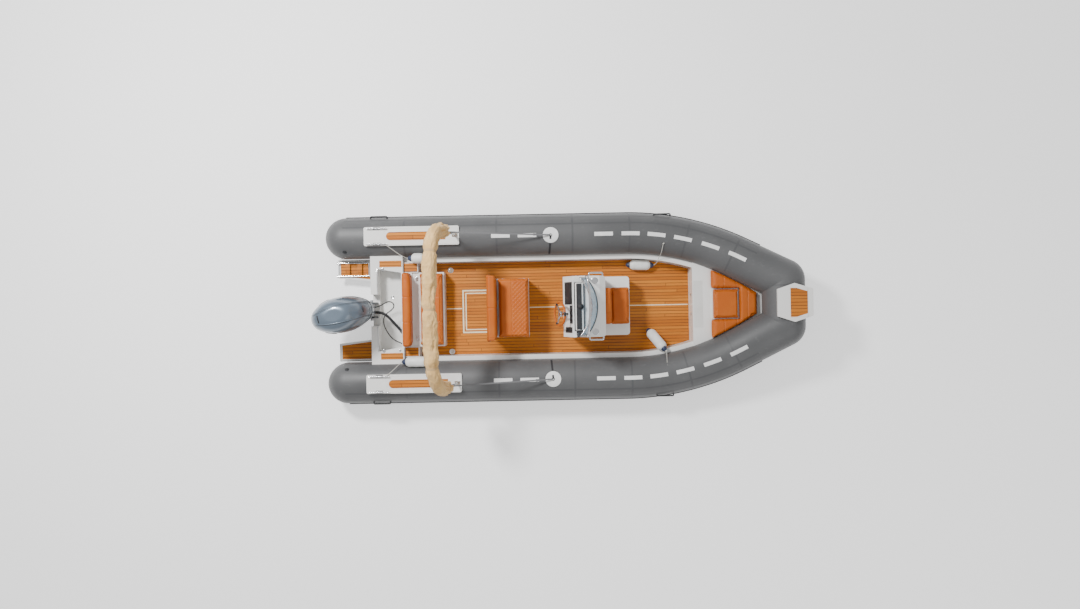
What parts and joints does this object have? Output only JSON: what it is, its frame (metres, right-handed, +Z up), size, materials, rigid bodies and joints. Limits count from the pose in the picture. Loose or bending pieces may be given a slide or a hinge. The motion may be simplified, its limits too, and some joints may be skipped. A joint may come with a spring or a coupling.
{
  "type": "inflatable rib boat with outboard engine",
  "caption": "Rigid inflatable boat: grey tubes round a deep-V hull with teak deck, console, seats, folded sunshade arch and a tilting, steering outboard.",
  "frame": {"origin": "on the waterline and the centreline, near the middle of the boat's length", "axes": "+X to the bow, +Y to port, +Z up"},
  "size_m": [6.9806, 2.7374, 2.5953],
  "materials": {
    "gelcoat": "white glass-fibre gelcoat",
    "tube_fabric": "grey coated tube fabric",
    "rubber": "black rubber",
    "teak": "oiled teak with dark caulking",
    "upholstery": "stitched tan marine leatherette",
    "canvas": "sand acrylic canvas",
    "stainless": "polished stainless steel",
    "acrylic": "tinted acrylic",
    "engine_paint": "metallic blue-grey paint",
    "dark_metal": "dark grey paint",
    "propeller_steel": "bright cast steel",
    "dash_plastic": "black moulded plastic",
    "fender_vinyl": "white inflated vinyl",
    "strap": "grey webbing"
  },
  "bodies": {
    "boat": {"hull": "gelcoat", "tube_port": "tube_fabric", "tube_starboard": "tube_fabric", "tube_bow": "tube_fabric", "rub_strakes": "rubber", "floor_pan": "gelcoat", "side_coamings": "gelcoat", "deck_teak": "teak", "stern_moulding": "gelcoat", "swim_platforms": "gelcoat", "teak_panels": "teak", "line_glands": "dash_plastic", "rigging_hose": "rubber", "engine_cable": "rubber", "step_plates": "gelcoat", "cleats": "stainless", "mooring_eyes": "stainless", "tube_fittings": "rubber", "fenders": "fender_vinyl", "bench_base": "gelcoat", "bench_back": "gelcoat", "bench_back_cushion": "upholstery", "helm_base": "gelcoat", "helm_back": "gelcoat", "helm_back_cushion": "upholstery", "console_body": "gelcoat", "dash_binnacle": "dash_plastic", "windscreen": "acrylic", "console_rails": "stainless", "throttle": "dash_plastic", "console_back_cushion": "upholstery", "bow_moulding": "gelcoat", "bow_cushions": "upholstery", "bow_plate": "gelcoat", "arch_hinges": "stainless", "stays": "strap", "clamp_bracket": "dark_metal"},
    "bench_seat": {"bench_lid": "gelcoat", "bench_cushion": "upholstery"},
    "helm_seat": {"helm_lid": "gelcoat", "helm_cushion": "upholstery"},
    "console_seat": {"console_lid": "gelcoat", "console_cushion": "upholstery"},
    "bow_lid": {"bow_hatch": "gelcoat", "bow_hatch_cushion": "upholstery"},
    "floor_lid": {"floor_hatch": "teak"},
    "wheel": {"steering_wheel": "dash_plastic"},
    "ladder": {"swim_ladder": "stainless"},
    "sunshade": {"arch_legs": "stainless", "sunshade_boot": "canvas"},
    "tilt_unit": {"swivel_bracket": "dark_metal"},
    "engine": {"engine_leg": "engine_paint", "cowl_apron": "engine_paint", "cowl": "engine_paint", "gearcase": "engine_paint"},
    "propeller_body": {"propeller": "propeller_steel"}
  },
  "joints": [
    {"name": "bench_seat_hinge", "type": "hinge", "parent": "boat", "child": "bench_seat", "pos_m": [-1.768, 0, 0.36], "axis": [0, -1, 0], "range_deg": [0, 75]},
    {"name": "helm_seat_hinge", "type": "hinge", "parent": "boat", "child": "helm_seat", "pos_m": [-0.16, 0, 0.52], "axis": [0, 1, 0], "range_deg": [0, 90]},
    {"name": "console_seat_hinge", "type": "hinge", "parent": "boat", "child": "console_seat", "pos_m": [1.3, 0, 0.43], "axis": [0, 1, 0], "range_deg": [0, 95]},
    {"name": "bow_lid_hinge", "type": "hinge", "parent": "boat", "child": "bow_lid", "pos_m": [2.49, 0, 0.43], "axis": [0, -1, 0], "range_deg": [0, 90]},
    {"name": "floor_lid_hinge", "type": "hinge", "parent": "boat", "child": "floor_lid", "pos_m": [-1.16, 0, 0.1], "axis": [0, -1, 0], "range_deg": [0, 90]},
    {"name": "steering_wheel_turn", "type": "hinge", "parent": "boat", "child": "wheel", "pos_m": [0.3925, -0.1, 0.825], "axis": [-0.9075, 0, 0.4201], "range_deg": [-720, 720]},
    {"name": "ladder_fold", "type": "hinge", "parent": "boat", "child": "ladder", "pos_m": [-2.986, 0.6, 0.2205], "axis": [0, -1, 0], "range_deg": [0, 255]},
    {"name": "sunshade_fold", "type": "hinge", "parent": "boat", "child": "sunshade", "pos_m": [-1.2, 0, 0.676], "axis": [0, 1, 0], "range_deg": [0, 80], "deforming": ["stays"]},
    {"name": "engine_tilt", "type": "hinge", "parent": "boat", "child": "tilt_unit", "pos_m": [-2.445, 0, 0.43], "axis": [0, 1, 0], "range_deg": [0, 60], "deforming": ["rigging_hose", "engine_cable"]},
    {"name": "engine_steer", "type": "hinge", "parent": "tilt_unit", "child": "engine", "pos_m": [-2.56, 0, 0.2], "axis": [0, 0, 1], "range_deg": [-45, 19]},
    {"name": "propeller_spin", "type": "hinge", "parent": "engine", "child": "propeller_body", "pos_m": [-2.98872, -0.09898, -0.52], "axis": [0.9744, 0.225, 0], "continuous": true}
  ]
}
